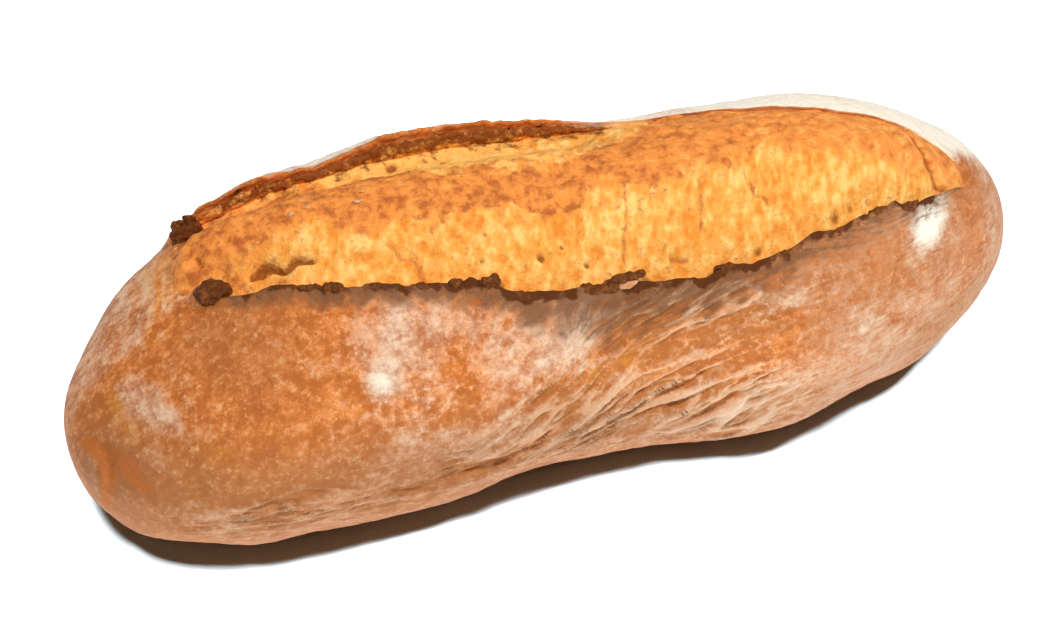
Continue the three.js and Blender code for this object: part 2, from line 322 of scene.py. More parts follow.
# what happens on the front wall, by x and z
wall = {
    # lines along which the crust has stretched, from the board up
    "stretchLines": [
        [[-160, 0], [160, 0]],
        [[-160, 8], [-60, 10], [10, 8], [60, 22], [100, 28], [160, 28]],
        [[-160, 16], [-74, 20], [-34, 18], [14, 24], [56, 43], [100, 46], [160, 40]],
        [[-160, 28], [-74, 30], [-34, 28], [-2, 34], [50, 60], [100, 58], [160, 48]],
        [[-160, 40], [-73, 36], [-34, 34], [-11, 45], [14, 60], [50, 72], [100, 70], [160, 58]],
        [[-160, 56], [-90, 50], [-44, 44], [-12, 61], [24, 79], [60, 88], [160, 76]],
        [[-160, 90], [-90, 84], [-44, 82], [0, 98], [160, 110]],
    ],
    "lineGap": 15,
    # creases with a raised floury bank below: half width, depth, bank height and points
    "folds": [
        (2.6, 1.5, 0.9, [(-60, 33), (-49, 32), (-35, 33), (-18, 40), (-9, 46), (-5, 50)]),
        (2.6, 0.9, 0.3, [(-5, 50), (5, 57), (14, 60), (24, 61), (33, 64), (50, 67)]),
        (1.6, 0.9, 0.6, [(-73, 35), (-64, 32), (-57, 30)]),
        (1.6, 1.0, 0.7, [(-2, 60), (7, 64), (15, 67), (22, 69), (35, 72)]),
        (1.6, 1.1, 0.7, [(20, 38), (28, 41), (35, 44)]),
        (2.5, 1.4, 1.0, [(16, 29), (27, 32), (34, 35), (40, 39), (44, 45)]),
        (1.6, 0.8, 0.5, [(34, 20), (38, 21), (46, 23)]),
        (1.6, 0.9, 0.5, [(10, 45), (15, 47), (27, 51), (33, 55)]),
        (1.6, 0.9, 0.6, [(3, 42), (8, 44), (15, 46)]),
        (1.6, 0.8, 0.4, [(-24, 51), (-17, 53), (-9, 55)]),
        (1.6, 0.8, 0.4, [(-22, 48), (-15, 49), (-9, 49)]),
        (1.6, 0.7, 0.9, [(5, 33), (15, 39), (24, 44), (32, 49), (37, 53)]),
        (1.6, 0.7, 0.8, [(12, 35), (20, 38), (28, 40), (37, 45)]),
        (1.6, 0.6, 0.6, [(-35, 38), (-24, 41), (-14, 43), (-4, 46), (3, 50)]),
        (1.6, 0.8, 0.5, [(-120, 40), (-108, 41), (-90, 42)]),
        (1.6, 0.6, 0.4, [(-127, 43), (-114, 46), (-104, 47)]),
        (1.6, 0.6, 0.4, [(-144, 59), (-136, 62), (-127, 65)]),
    ],
    # the seam on the left end, its points as y and z
    "endFolds": [
        (2.0, 2.0, 0.9, [(-23.5, 33), (-25, 38), (-24.5, 41.5), (-22.5, 45), (-19.5, 47.1), (-14, 48.3),
                         (-9, 47), (-5, 45)]),
        (1.7, 0.9, 0.1, [(-38, 45), (-28, 48), (-21, 49.4), (-15, 49)]),
    ],
    "endShade": [(-28, 44, 9, 5, 1.1), (-20, 46, 4, 3, 1.0)],
    # where fine wrinkles show: x, z, reach along, reach up, strength
    "wrinkled": [
        (22, 38, 34, 17, 1.0), (-16, 46, 26, 14, 0.8), (-55, 34, 32, 9, 0.5), (48, 34, 20, 14, 0.9),
        (14, 75, 36, 9, 1.2), (34, 63, 26, 9, 0.7), (-108, 38, 30, 9, 0.8), (96, 34, 40, 9, 0.35),
        (56, 71, 26, 6, 0.6),
    ],
    # where flour lies, in the same way
    "floured": [
        (-58, 77, 13, 8, 0.4), (-68, 69, 5.0, 4.0, 0.9), (-46, 75, 6, 4, 0.25), (-40, 66, 30, 20, 0.32),
        (-60, 48, 24, 12, 0.26), (-10, 72, 22, 8, 0.3), (-2, 66, 10, 8, 0.35), (-14, 62, 14, 6, 0.25),
        (-30, 40, 22, 8, 0.25), (14, 52, 12, 7, 0.2), (-10, 22, 30, 10, 0.3), (40, 24, 30, 11, 0.16),
        (90, 26, 40, 12, 0.32),
        (60, 69, 9, 3.5, 0.4), (117, 70, 9, 8, 0.6), (124, 73, 6, 7, 0.4), (89, 52, 6, 5, 0.3),
        (85, 60, 50, 24, 0.22), (95, 44, 30, 8, 0.22), (-137, 64, 8, 5, 0.6),
        (-100, 25, 30, 8, 0.22), (-126, 36, 12, 8, 0.26), (30, 34, 24, 14, 0.1), (54, 40, 14, 12, 0.14),
        (146, 48, 20, 26, 0.3), (-146, 66, 16, 12, 0.45),
    ],
    # where the crust is bare and deeper orange
    "bare": [
        (-45, 71, 5, 6, 0.7), (-42, 60, 5, 8, 0.7), (-48, 55, 7, 3, 0.9), (31, 67, 22, 6, 0.7),
        (61, 63, 9, 4, 0.8), (98, 67, 8, 6, 0.6), (137, 57, 6, 14, 0.9), (13, 57, 8, 5, 0.9),
        (51, 56, 14, 5, 0.6), (24, 54, 6, 4, 0.6),
    ],
    # where flour lies thickly, to white
    "white": [
        (117, 70, 6.5, 5.5, 0.95), (123, 73, 6, 6, 0.35), (-68, 69, 4, 3.5, 0.45), (-56, 78, 8, 4, 0.2),
    ],
    # yellow-brown stains
    "ochre": [
        (-119, 74, 6, 3, 0.7), (-132, 65, 4, 2, 0.7), (-154, 51, 5, 3, 0.6), (-144, 55, 5, 3, 0.8),
        (-119, 57, 7, 3, 0.7), (-104, 62, 6, 3, 0.5), (10, 57, 4, 4, 1.0), (-1, 55, 4, 4, 0.9),
        (20, 62, 6, 2, 0.7), (46, 44, 3, 6, 0.7), (-44, 31, 8, 3, 0.6), (-134, 67, 3, 3, 0.5),
    ],
    # how far the smoke-darkened band reaches below the lip, by x
    "smokeReach": [
        [-108, 4], [-98, 5.5], [-73, 7], [-43, 7], [-15, 11], [3, 15.5], [22, 12], [41, 9.5], [61, 9.5],
        [83, 8.5], [107, 7], [120, 5.5], [135, 4],
    ],
    # height at which the crust begins to darken towards the board, by x
    "shadeTop": [[-125, 76], [-80, 74], [-10, 69], [30, 58]],
    # small hollows, the last number being the depth; they are also darkened as painted shade
    "hollows": [
        (124, 57, 1.8, 4.5, 1.2), (119, 52, 1.6, 1.6, 0.8), (99, 49, 4, 1.4, 0.7), (92, 46, 2.6, 1.8, 0.7),
    ],
}


def patches(rows, x, z):
    return sum(full * bump(np.hypot((x - atX) / alongX, (z - atZ) / upZ), 1)
               for atX, atZ, alongX, upZ, full in rows)


def stretchHeight(x, z):
    # counts up across the stretch lines, and stays the same along each
    lines = [np.interp(x, *np.array(line, float).T) for line in wall["stretchLines"]]
    total = 0
    for low, high in zip(lines, lines[1:]):
        total = total + np.clip((z - low) / (high - low), 0, 1)
    return total * wall["lineGap"]


def alongPath(x, z, path):
    # distance above (+) or below (-) the path, and the share of the way along it
    points = np.array(path, float)
    lengths = np.hypot(*np.diff(points, axis=0).T)
    best, away, share = np.full(x.shape, np.inf), np.zeros(x.shape), np.zeros(x.shape)
    for k, length in enumerate(lengths):
        run = (points[k + 1] - points[k]) / length
        along = np.clip((x - points[k][0]) * run[0] + (z - points[k][1]) * run[1], 0, length)
        offX = x - points[k][0] - along * run[0]
        offZ = z - points[k][1] - along * run[1]
        far = np.hypot(offX, offZ)
        closer = far < best
        best = np.where(closer, far, best)
        away = np.where(closer, np.sign(offZ * run[0] - offX * run[1]) * far, away)
        share = np.where(closer, (lengths[:k].sum() + along) / lengths.sum(), share)
    return away, share


crustPiece = {
    "rings": 350,
    "segments": 284,
    "frontSteps": 165,
    "floorSteps": 26,
    "flatAngle": 28,       # degrees of the underside that hardly need any points
    "flatShare": 0.04,
    "backFlatShare": 0.08,
    "endCrowding": 0.3,
    "floorDepth": 9,
    "inset": 0.1,          # inside the frame's box, which the sides near over the easing
    "easing": 1.5,
    "lipThick": 1.7,
    "lipFoot": 2.6,        # how far the raised lip lifts the crust below it, and its share
    "lipLift": 0.9,
    # front lip from its outer foot over the top inwards: share of thickness, height in lip heights, extra
    "lipProfile": [(0.2, 0.95, 0.1), (0.42, 1, 0.25), (0.68, 1, 0.2), (0.9, 0.9, 0), (1.02, 0.7, -0.3),
                   (1.05, 0.3, -1.0), (1.05, 0, -2.6), (1.2, 0, -5)],
    # ear from the back lip over the top to the inside: share of the thickness, share of the height, extra
    "earProfile": [(0.25, 0.86, 0), (0.5, 0.95, 0), (0.72, 1, 0.1), (0.9, 1, 0), (1.0, 0.93, -0.1),
                   (0.98, 0.82, -0.3), (0.8, 0.5, -0.6), (0.6, 0, -1.5), (0.5, 0, -6)],
    "earThick": 0.065,     # shares of the tear's width, with and without an ear
    "edgeThick": 0.015,
    "earLift": 0.7,
    "earLiftRange": (40, 70),
    "floorFrom": 1.3,      # the hidden floor between the lips, in their thicknesses
    "floorTo": 0.45,
    "lipTop": 2,           # which points of the profiles are the tops, and how many more are the edge
    "earTop": 3,
    "edge": 3,
    # uneven edges: height, size and place in the noise
    "lipRagged": [(0.9, 3.4, 0, 3), (0.7, 7, 0, 9)],
    "lipChips": [(1, 2.9, 4, 1)],
    "chipHeight": 2.6,
    "chipsAbove": 0.2,
    "lowestLip": 0.5,
    "earRagged": [(0.9, 9, 5, 0), (0.7, 3.5, 9, 0)],
    "charredLip": [(0.9, 9, 2, 6), (0.6, 3.5, 8, 2)],
    "charredEar": [(0.8, 7, 3, 9)],
    # fine relief: height, size and pick
    "sideWander": (8, 15, 37),
    "flowWander": (2.2, 22, 3),
    "grains": [(0.2, 4.6, 4), (0.16, 2.3, 6)],
    "frayed": [(1, 2.4, 5), (0.8, 6, 7)],
    "mostWrinkled": 1.2,
    "ridgeSharpness": 2.2,
    "ridges": [(0.65, (19, 3.4, 30), 1), (0.35, (9, 2.8, 20), 2)],
    # loops of thin ridges: strength, size, pick and how wide they are
    "loops": [(1, (26, 5, 40), 7, 0.27), (0.6, (14, 3.6, 30), 12, 0.32)],
    "foldNarrow": 0.7,
    "foldEnds": 0.18,
    "foldWander": (0.3, 7, 8),
    "grooveAtEnds": 0.35,
    "bankAtEnds": 0.3,
    "bankAway": 1.9,       # in half widths of the fold
    "bankWide": 0.8,
    "bankShows": 0.2,
}


def lipRise(x):
    form, piece = loafForm, crustPiece
    flakes = sum(extra * bump(x - place, reach) for place, extra, reach in form["lipFlakes"])
    chips = piece["chipHeight"] * np.clip(unevenEdge(x, piece["lipChips"]) - piece["chipsAbove"], 0, 1)
    rise = form["lipHeight"] + waves(form["lipWaves"], x) + flakes + unevenEdge(x, piece["lipRagged"])
    return np.maximum(rise + chips, piece["lowestLip"])


def earTop(body):
    return body["earHeight"] + unevenEdge(body["x"], crustPiece["earRagged"]) * body["ear"]


def crustArc(body, lip, side, share):
    # from the middle of the underside up to the lip, with the frame's relief
    form, mostReach, nearLip = loafForm, 0.95, 0.2
    flat = math.radians(crustPiece["flatAngle"])
    flatShare = crustPiece["flatShare"] if side < 0 else crustPiece["backFlatShare"]
    reach = np.clip(side * (lip - body["axis"]) / body["halfWidth"], -mostReach, mostReach)
    lipAngle = math.pi - np.arcsin(signedPower(reach, form["roundness"] / 2))
    angle = np.where(share < flatShare, share / flatShare * flat,
                     flat + (lipAngle - flat) * (share - flatShare) / (1 - flatShare))
    power = 2 / form["roundness"]
    y = side * signedPower(np.sin(angle), power) * body["halfWidth"]
    up = -signedPower(np.cos(angle), power)
    z = up * np.where(up < 0, body["drop"], body["rise"])
    clearOfLip = smooth(0, nearLip, 1 - angle / lipAngle)
    swell = 1 + clearOfLip * largeRelief(body["x"], body["belly"] + z, side) / np.hypot(y, z)
    return body["axis"] + y * swell, body["belly"] + z * swell


def crustSections(x):
    # y and z of every point of every section: front arc, front lip, hidden floor, ear, back arc
    piece, form = crustPiece, loafForm
    body = loafBody(x)
    steps = piece["frontSteps"]
    middle = len(piece["lipProfile"]) + piece["floorSteps"] + len(piece["earProfile"])
    backSteps = piece["segments"] - steps - middle
    frontY, frontZ = crustArc(body, body["frontLip"], -1, np.linspace(0, 1, steps)[None, :])
    backY, backZ = crustArc(body, body["backLip"], 1, np.linspace(1, 0, backSteps + 1)[None, :-1])

    rise = lipRise(x)
    toLip = np.hypot(frontY - frontY[:, -1:], frontZ - frontZ[:, -1:])
    frontZ = frontZ + body["open"] * piece["lipLift"] * rise * bump(toLip, piece["lipFoot"])
    top = earTop(body)
    lift = piece["earLift"] * body["open"] * body["ear"] * top
    lift = lift * bump(backY - body["backLip"], form["earSlope"])
    backZ = backZ + lift * smooth(*piece["earLiftRange"], backZ)

    # between the lips: open positions first, then the plain dome where the tear is shut
    places, lifts = [], []
    for share, high, extra in piece["lipProfile"]:
        places.append(share * piece["lipThick"] / body["gap"])
        lifts.append(high * rise + extra)
    thick = mix(piece["edgeThick"], piece["earThick"], body["ear"])
    floorFrom = piece["floorFrom"] * piece["lipThick"] / body["gap"]
    for share in np.linspace(0, 1, piece["floorSteps"] + 2)[1:-1]:
        places.append(mix(floorFrom, 1 - piece["floorTo"] * thick, share))
        lifts.append(np.full_like(x, -piece["floorDepth"]))
    for share, high, extra in reversed(piece["earProfile"]):
        places.append(1 - share * thick)
        lifts.append(high * top + extra * body["ear"])
    places = np.concatenate(places, 1)
    lifts = np.concatenate(lifts, 1)
    even = np.linspace(0, 1, middle + 2)[None, 1:-1]
    middleY = body["frontLip"] + body["gap"] * mix(even, places, body["open"])
    middleZ = crownAt(body, middleY) + openAt(body, places) * lifts
    y = np.concatenate([frontY, middleY, backY], 1)
    z = np.concatenate([frontZ, middleZ, backZ], 1)
    return body, y, z


def crustStations(rings):
    # x of each ring, crowded towards the ends
    crowding = crustPiece["endCrowding"]
    even = 1 - 2 * np.arange(1, rings) / rings
    out = np.abs(even)
    late = np.maximum(out - (1 - crowding), 0)
    out = np.minimum(out, 1 - crowding) + late - late ** 2 / (2 * crowding)
    return (np.sign(even) * out / (1 - crowding / 2) * loafForm["half"])[:, None]


def foldRelief(place, front, leftEnd):
    # the folds' relief, and where their grooves and banks lie
    x, y, z = place
    piece, fade = crustPiece, crustPiece["foldEnds"]
    relief, crease, bank = np.zeros(y.shape), np.zeros(y.shape), np.zeros(y.shape)
    rows = [(fold, x, front) for fold in wall["folds"]]
    rows += [(fold, y, front * leftEnd) for fold in wall["endFolds"]]
    for (halfWidth, deep, high, path), along, shown in rows:
        away, share = alongPath(along, z, path)
        wide = halfWidth * mix(piece["foldNarrow"], 1, np.sin(math.pi * share))
        ends = smooth(0, fade, share) * (1 - smooth(1 - fade, 1, share))
        away = away + wide * wobble(place, piece["foldWander"])
        groove = bump(away, wide) * mix(piece["grooveAtEnds"], 1, ends) * shown
        mound = bump(away + piece["bankAway"] * wide, piece["bankWide"] * wide)
        mound = mound * mix(piece["bankAtEnds"], 1, ends) * shown
        relief = relief - deep * groove + high * mound
        crease = np.maximum(crease, groove * min(1, deep))
        bank = np.maximum(bank, mound * min(1, high + piece["bankShows"]))
    return relief, crease, bank


def shapeCrust():
    piece, form = crustPiece, loafForm
    rings, segments = piece["rings"], piece["segments"]
    bpy.ops.mesh.primitive_uv_sphere_add(segments=segments, ring_count=rings, radius=1)
    crust = bpy.context.object
    crust.name = "loaf_crust"
    places = pointsOf(crust)
    ring = np.rint(np.arccos(np.clip(places[:, 2], -1, 1)) / math.pi * rings).astype(int)
    around = np.degrees(np.arctan2(places[:, 1], places[:, 0]))
    step = np.rint((270 - around) / 360 * segments).astype(int) % segments    # 0 is under the middle

    x = crustStations(rings)
    body, y, z = crustSections(x)
    x = np.broadcast_to(x, y.shape)

    # distance along the section from each lip
    run = np.hypot(np.diff(y, axis=1, prepend=y[:, :1]), np.diff(z, axis=1, prepend=z[:, :1])).cumsum(1)
    lipAt = piece["frontSteps"] + piece["lipTop"]
    earAt = piece["frontSteps"] + len(piece["lipProfile"]) + piece["floorSteps"] + piece["earTop"]
    toFront = np.abs(run - run[:, lipAt:lipAt + 1])
    toBack = np.abs(run - run[:, earAt:earAt + 1])
    opened = body["open"]
    place = (x, y, z)

    # fine relief, pushed out from the middle of the section
    sideways = y - body["axis"] + wobble(place, piece["sideWander"])
    front = smooth(8, -8, sideways) * smooth(2, 12, z)
    leftEnd = smooth(-136, -145, x)
    flowHeight = stretchHeight(x, z) + wobble(place, piece["flowWander"])
    flow = (x * 1.1, flowHeight, 0.15 * x)
    wrinkled = np.clip(patches(wall["wrinkled"], x, z), 0, piece["mostWrinkled"]) * front
    wrinkles, cells = 0, 0
    for share, size, pick in piece["ridges"]:
        wrinkles = wrinkles + share * (1 - piece["ridgeSharpness"] * np.abs(noise(flow, size, pick)))
    for strength, size, pick, wide in piece["loops"]:
        cells = np.maximum(cells, strength * (1 - smooth(0.02, wide, np.abs(noise(flow, size, pick)))))
    folds, crease, bank = foldRelief(place, front, leftEnd)
    hollow = patches(wall["hollows"], x, z) * front
    relief = wrinkled * (0.5 * np.clip(wrinkles, -1, 1) + 1.5 * cells) + folds - hollow
    relief = relief + 0.4 * rough(place, 26, 3, 11) + wobble(place, *piece["grains"])
    relief = relief * smooth(0.5, 4, z) * smooth(0, 10, form["half"] - np.abs(x))
    outY, outZ = y - body["axis"], z - body["belly"]
    between = np.zeros(segments)
    between[lipAt + piece["edge"]:earAt - piece["edge"]] = 1
    push = relief * (1 - between[None, :] * opened) / np.maximum(np.hypot(outY, outZ), 5)
    y = y + push * outY
    z = np.maximum(z + push * outZ, 0)

    # masks that the finish reads: the burnt lip and ear, and the smoke below the lip
    frayed = wobble(place, *piece["frayed"])
    rightPart = smooth(40, 80, x)
    inFront = np.clip(smooth(4, -4, y - body["axis"]) + (toFront < 12), 0, 1)
    charred = np.clip(0.7 + unevenEdge(x, piece["charredLip"]), 0.1, 1.2)
    burn = opened * charred * (1 - smooth(1.4, 3.8, toFront + 1.6 * frayed + 0.8 * rightPart))
    charredBack = np.clip(0.3 + unevenEdge(x, piece["charredEar"]), 0, 1) * mix(0.35, 1, body["ear"])
    burnBack = opened * charredBack * (1 - smooth(0.2, 1.8, toBack + 0.9 * frayed))
    band = 1 - smooth(0, 1.9 * through(wall["smokeReach"], x), toFront + 1.8 * frayed)

    # flour on the back and over the shoulders
    overRight = 16 * smooth(70, 110, x) * smooth(50, 70, z)
    behind = smooth(0, 18, sideways + overRight) * mix(1, smooth(0, 7, toBack), body["ear"])
    shoulder = behind * smooth(-106, -124, x) * smooth(40, 56, z)
    dusted = behind * (0.8 + 0.35 * rough(place, 34, 2, 2)) * smooth(-140, -10, x)
    shown = {name: patches(wall[name], x, z) * front for name in ("floured", "white", "bare", "ochre")}
    bare = shown["bare"] + 0.7 * crease
    ridges = wrinkled * cells
    floured = shown["floured"] + 0.3 * bank + 0.15 * ridges - 0.5 * crease

    # darker towards the board, at the left end and above it
    shadeTop = np.interp(x, *np.array(wall["shadeTop"]).T)
    shade = smooth(shadeTop, shadeTop - 36, z) * smooth(36, -24, y - body["axis"])
    shade = shade + patches(wall["endShade"], y, z) * leftEnd * front
    shade = shade + 0.5 * smooth(-60, -110, x) * smooth(62, 74, z) * front
    peach = smooth(38, 74, x + 10 * noise(place, 20, 36)) * smooth(14, 30, z) * front
    nearTear = smooth(-131, -119, x + 6 * noise(place, 8, 33)) * smooth(-96, -104, x)
    golden = nearTear * smooth(12, 22, y) * (1 - smooth(45, 54, y)) * smooth(52, 60, z)
    masks = {
        "flour": floured + 0.3 * behind + 0.1 * shoulder - 0.45 * bare, "dusted": dusted + shown["white"],
        "ochre": shown["ochre"], "smoke": opened * band * inFront * (1 - 0.3 * rightPart), "shade": shade,
        # painted shade: the hollows and the folds' creases are darkened, most in the seam at the left end
        "burn": np.maximum(burn, burnBack), "hollow": hollow + crease * (0.5 + leftEnd),
        "peach": peach - 0.5 * bare, "ridge": ridges, "furrow": wrinkled * (1 - cells) + 0.4 * bare,
        "golden": golden + 0.3 * shoulder,
    }

    shift = sideShift()
    at = (np.clip(ring - 1, 0, rings - 2), step)
    y = within(y + shift, cadBox[1][1] / metre - piece["inset"], piece["easing"])
    moved = np.stack([x, y, z], -1)[at]
    for pole, key, s in ((0, "rightEnd", 1), (rings, "leftEnd", -1)):
        moved[ring == pole] = (s * form["half"], through(form["axis"], s) + shift, form[key]["height"])
    setPoints(crust, moved, {name: np.broadcast_to(values, y.shape)[at] for name, values in masks.items()})
    setFlow(crust, "stretch", np.stack([x, flowHeight, 0 * x], -1)[at])
    tidySurface(crust)
    return crust


def pointsOf(piece):
    places = np.empty(len(piece.data.vertices) * 3)
    piece.data.vertices.foreach_get("co", places)
    return places.reshape(-1, 3)


def setPoints(piece, points, masks):
    piece.data.vertices.foreach_set("co", (points * metre).ravel())
    for name, values in masks.items():
        layer = piece.data.attributes.new(name, "FLOAT", "POINT")
        layer.data.foreach_set("value", values.astype(np.float32))


def setFlow(piece, name, places):
    # places for a pattern that follows the surface
    layer = piece.data.attributes.new(name, "FLOAT_VECTOR", "POINT")
    layer.data.foreach_set("vector", (places * metre).astype(np.float32).ravel())
    piece.data.update()


def within(value, limit, easing):
    past = np.maximum(np.abs(value) - (limit - easing), 0)
    return np.sign(value) * (np.minimum(np.abs(value), limit - easing) + easing * np.tanh(past / easing))


def sideShift():
    # the frame's loaf is centred on its box: its left tip tells by how much it was moved sideways
    tip = min(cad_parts["loaf"].data.vertices, key=lambda vertex: vertex.co.x)
    return tip.co.y / metre - loafForm["axis"][0][1]


def tidySurface(piece):
    bpy.ops.object.mode_set(mode="EDIT")
    bpy.ops.mesh.select_all(action="SELECT")
    bpy.ops.mesh.normals_make_consistent(inside=False)
    bpy.ops.object.mode_set(mode="OBJECT")
    bpy.ops.object.shade_smooth()


crumbPiece = {
    "stepsAlong": 455,
    "stepsAcross": 210,
    "span": (-127, 142),
    "wallFrom": 0.86,       # share of the steps after which the ear's inner wall starts
    "footAt": 0.88,         # foot of the inner wall, in ear thicknesses from the back lip
    "slabBottom": 52,
    "strandLean": 0.36,
    # the brown crest starts and ends at this share of the way across, by x
    "crestFrom": [
        [-100, 0.3], [-94, 0.36], [-77, 0.44], [-58, 0.37], [-33, 0.37], [8, 0.37], [23, 0.42], [47, 0.45],
        [70, 0.52], [83, 0.5], [100, 0.42], [112, 0.36], [126, 0.2],
    ],
    "crestTo": [
        [-80, 0.9], [-62, 0.88], [-49, 0.79], [-38, 0.67], [-29, 0.61], [-8, 0.59], [6, 0.58], [14, 0.63],
        [23, 0.68], [38, 0.8], [50, 1.1],
    ],
    # cracks across the crumb: half width, depth, and points as x and share of the way across
    "cracks": [
        (0.7, 1.2, [(25, 0.44), (22, 0.3), (18, 0.18), (15, 0.05)]),
        (0.8, 1.3, [(47, 0.45), (47, 0.38), (45, 0.28), (42, 0.2)]),
        (0.9, 1.4, [(62, 0.36), (63, 0.3), (66, 0.24)]),
        (1.0, 1.8, [(-52, 0.3), (-49, 0.2), (-46, 0.17), (-44, 0.05)]),
        (1.3, 4.5, [(-95, 0.15), (-90, 0.21), (-87, 0.24), (-84, 0.2), (-80, 0.235), (-75, 0.24)]),
        (1.3, 2.9, [(122, 0.75), (124, 0.5), (125, 0.3), (125.5, 0.17), (130, 0.1)]),
        (0.9, 1.8, [(112, 0.9), (117, 0.78), (122, 0.75)]),
        (0.9, 1.6, [(-99, 0.75), (-92, 0.84), (-84, 0.88)]),
        (1.3, 3, [(-107.5, 0.42), (-106.5, 0.34)]),
        (0.8, 0.8, [(30, 0.12), (36, 0.13)]),
    ],
    # pits: x, share of the way across, reach, depth
    "pits": [
        (-8, 0.17, 1.4, 1.6), (5, 0.13, 1.0, 1.2), (-0.5, 0.2, 0.8, 1.0), (86, 0.11, 1.8, 0.9),
        (92, 0.13, 1.4, 0.8),
        (99, 0.14, 1.5, 0.7), (58, 0.08, 1.2, 1.0), (-15, 0.3, 0.9, 0.8), (33, 0.25, 0.8, 0.7),
        (-36, 0.9, 2.2, 2.4), (-58, 0.86, 1.2, 0.9), (-20, 0.86, 1.2, 1.0), (-62, 0.3, 0.9, 0.8),
        (-70, 0.33, 0.8, 0.7),
    ],
    "startsAt": 0.55,       # in lip thicknesses from the front lip
    "undercut": 0.24,       # of the inner wall, and how it leans back, in ear thicknesses
    "wallLean": 0.1,
    "wallHeight": 0.86,     # in ear heights
    # noise: height, size and pick
    "bend": (3, 26, 1),
    "clumps": [(1, 4.2, 34), (0.5, 2.1, 35)],
    "crestRagged": [(0.07, 9, 9), (0.05, 3.5, 10)],
    "wallRagged": [(0.8, 3.2, 15), (0.5, 1.6, 16)],
    "startRagged": (2.5, 3.5, 17),
    "crackWander": (0.9, 4, 21),
    "pitRagged": (0.3, 2, 20),
    "crackDepth": 0.7,
    "darkCracks": (1.5, 4), # depths over which painted shade darkens a crack inside, and a pit
    "darkPits": (0.3, 1.2),
}


def tornHeight(body, share):
    plain = through(loafForm["tearPlain"], share)
    withEar = through(loafForm["tearWithEar"], share)
    return mix(plain, withEar, body["ear"])


def onTear(x, share):
    # a point of the torn surface, by x and the share of the way across
    body = loafBody(np.array([[float(x)]]))
    y = body["frontLip"] + body["gap"] * share
    z = crownAt(body, y) + tornHeight(body, share) * smooth(0, loafForm["fullTear"], body["gap"])
    return x, y.item() + sideShift(), z.item()


def onLip(x):
    body = loafBody(np.array([[float(x)]]))
    y = body["frontLip"] + 0.6 * crustPiece["lipThick"]
    return x, y.item() + sideShift(), (crownAt(body, y) + lipRise(body["x"])).item()


def crumbHoles(body, place, share):
    # how deep the pits and cracks are, where painted shade darkens them inside, and where the cracks are
    piece, width = crumbPiece, loafForm["tearWidth"]
    x, sunk = body["x"], np.zeros(share.shape)
    holeShade, crack = np.zeros(share.shape), np.zeros(share.shape)
    ragged = 1 + wobble(place, piece["pitRagged"])
    for atX, atShare, reach, deep in piece["pits"]:
        spot = bump(np.hypot(x - atX, (share - atShare) * body["gap"]), reach * ragged)
        holeShade = np.maximum(holeShade, spot * smooth(*piece["darkPits"], deep))
        sunk = sunk + deep * spot
    wander = wobble(place, piece["crackWander"])
    for halfWidth, deep, path in piece["cracks"]:
        away, at = alongPath(x + 0 * share, share * width, [(px, py * width) for px, py in path])
        ends = smooth(-0.05, 0.3, at) * (1 - 0.8 * smooth(0.7, 1.05, at))
        spot = bump(away + wander, halfWidth * (0.5 + 0.5 * ends)) * smooth(0, 0.4, ends)
        crack = np.maximum(crack, spot)
        holeShade = np.maximum(holeShade, spot * smooth(*piece["darkCracks"], deep))
        sunk = sunk + piece["crackDepth"] * deep * spot
    return sunk, np.clip(holeShade, 0, 1), crack


